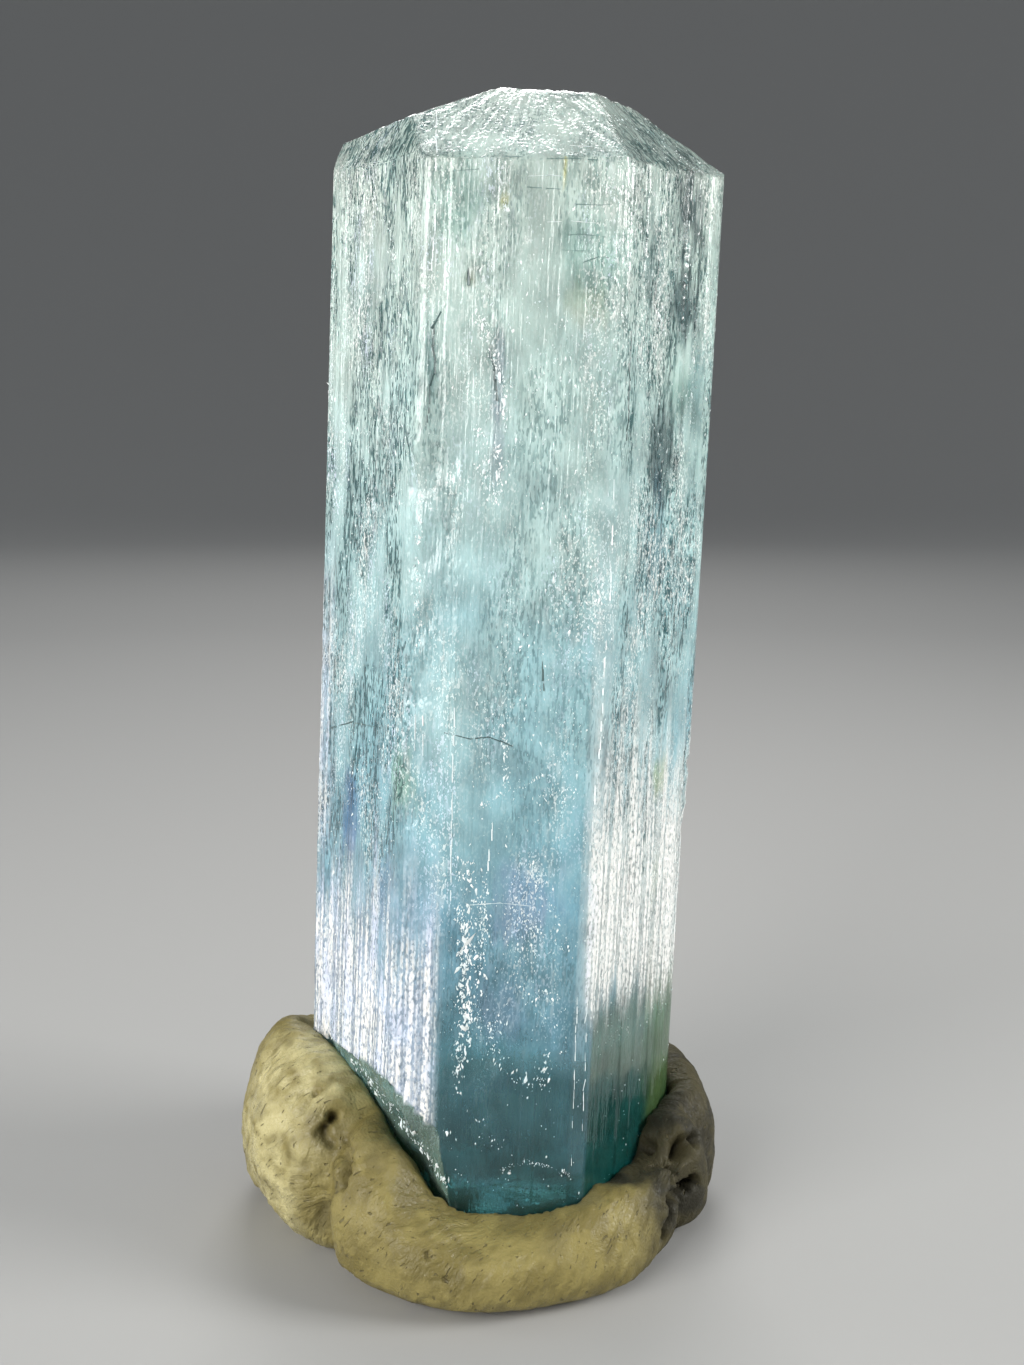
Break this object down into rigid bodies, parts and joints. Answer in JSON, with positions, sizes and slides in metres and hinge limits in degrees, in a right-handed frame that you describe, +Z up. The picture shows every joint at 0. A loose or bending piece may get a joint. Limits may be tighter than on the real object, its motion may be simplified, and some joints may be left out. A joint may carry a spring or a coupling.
{
  "type": "aquamarine crystal",
  "caption": "Tall blue-green hexagonal beryl crystal with lengthwise striations and a bevelled top, standing on a ring of pressed olive mineral tack.",
  "frame": {"origin": "centre of the tack's footprint, on the surface that it stands on", "axes": "+Z up along the crystal, which leans slightly towards +X; -Y is the side shown to the viewer"},
  "size_m": [0.0206, 0.0205, 0.0458],
  "materials": {
    "aquamarine": "natural etched crystal faces",
    "mineral_tack": "matt putty"
  },
  "bodies": {
    "root": {"crystal": "aquamarine", "mineral_tack": "mineral_tack"}
  },
  "joints": []
}
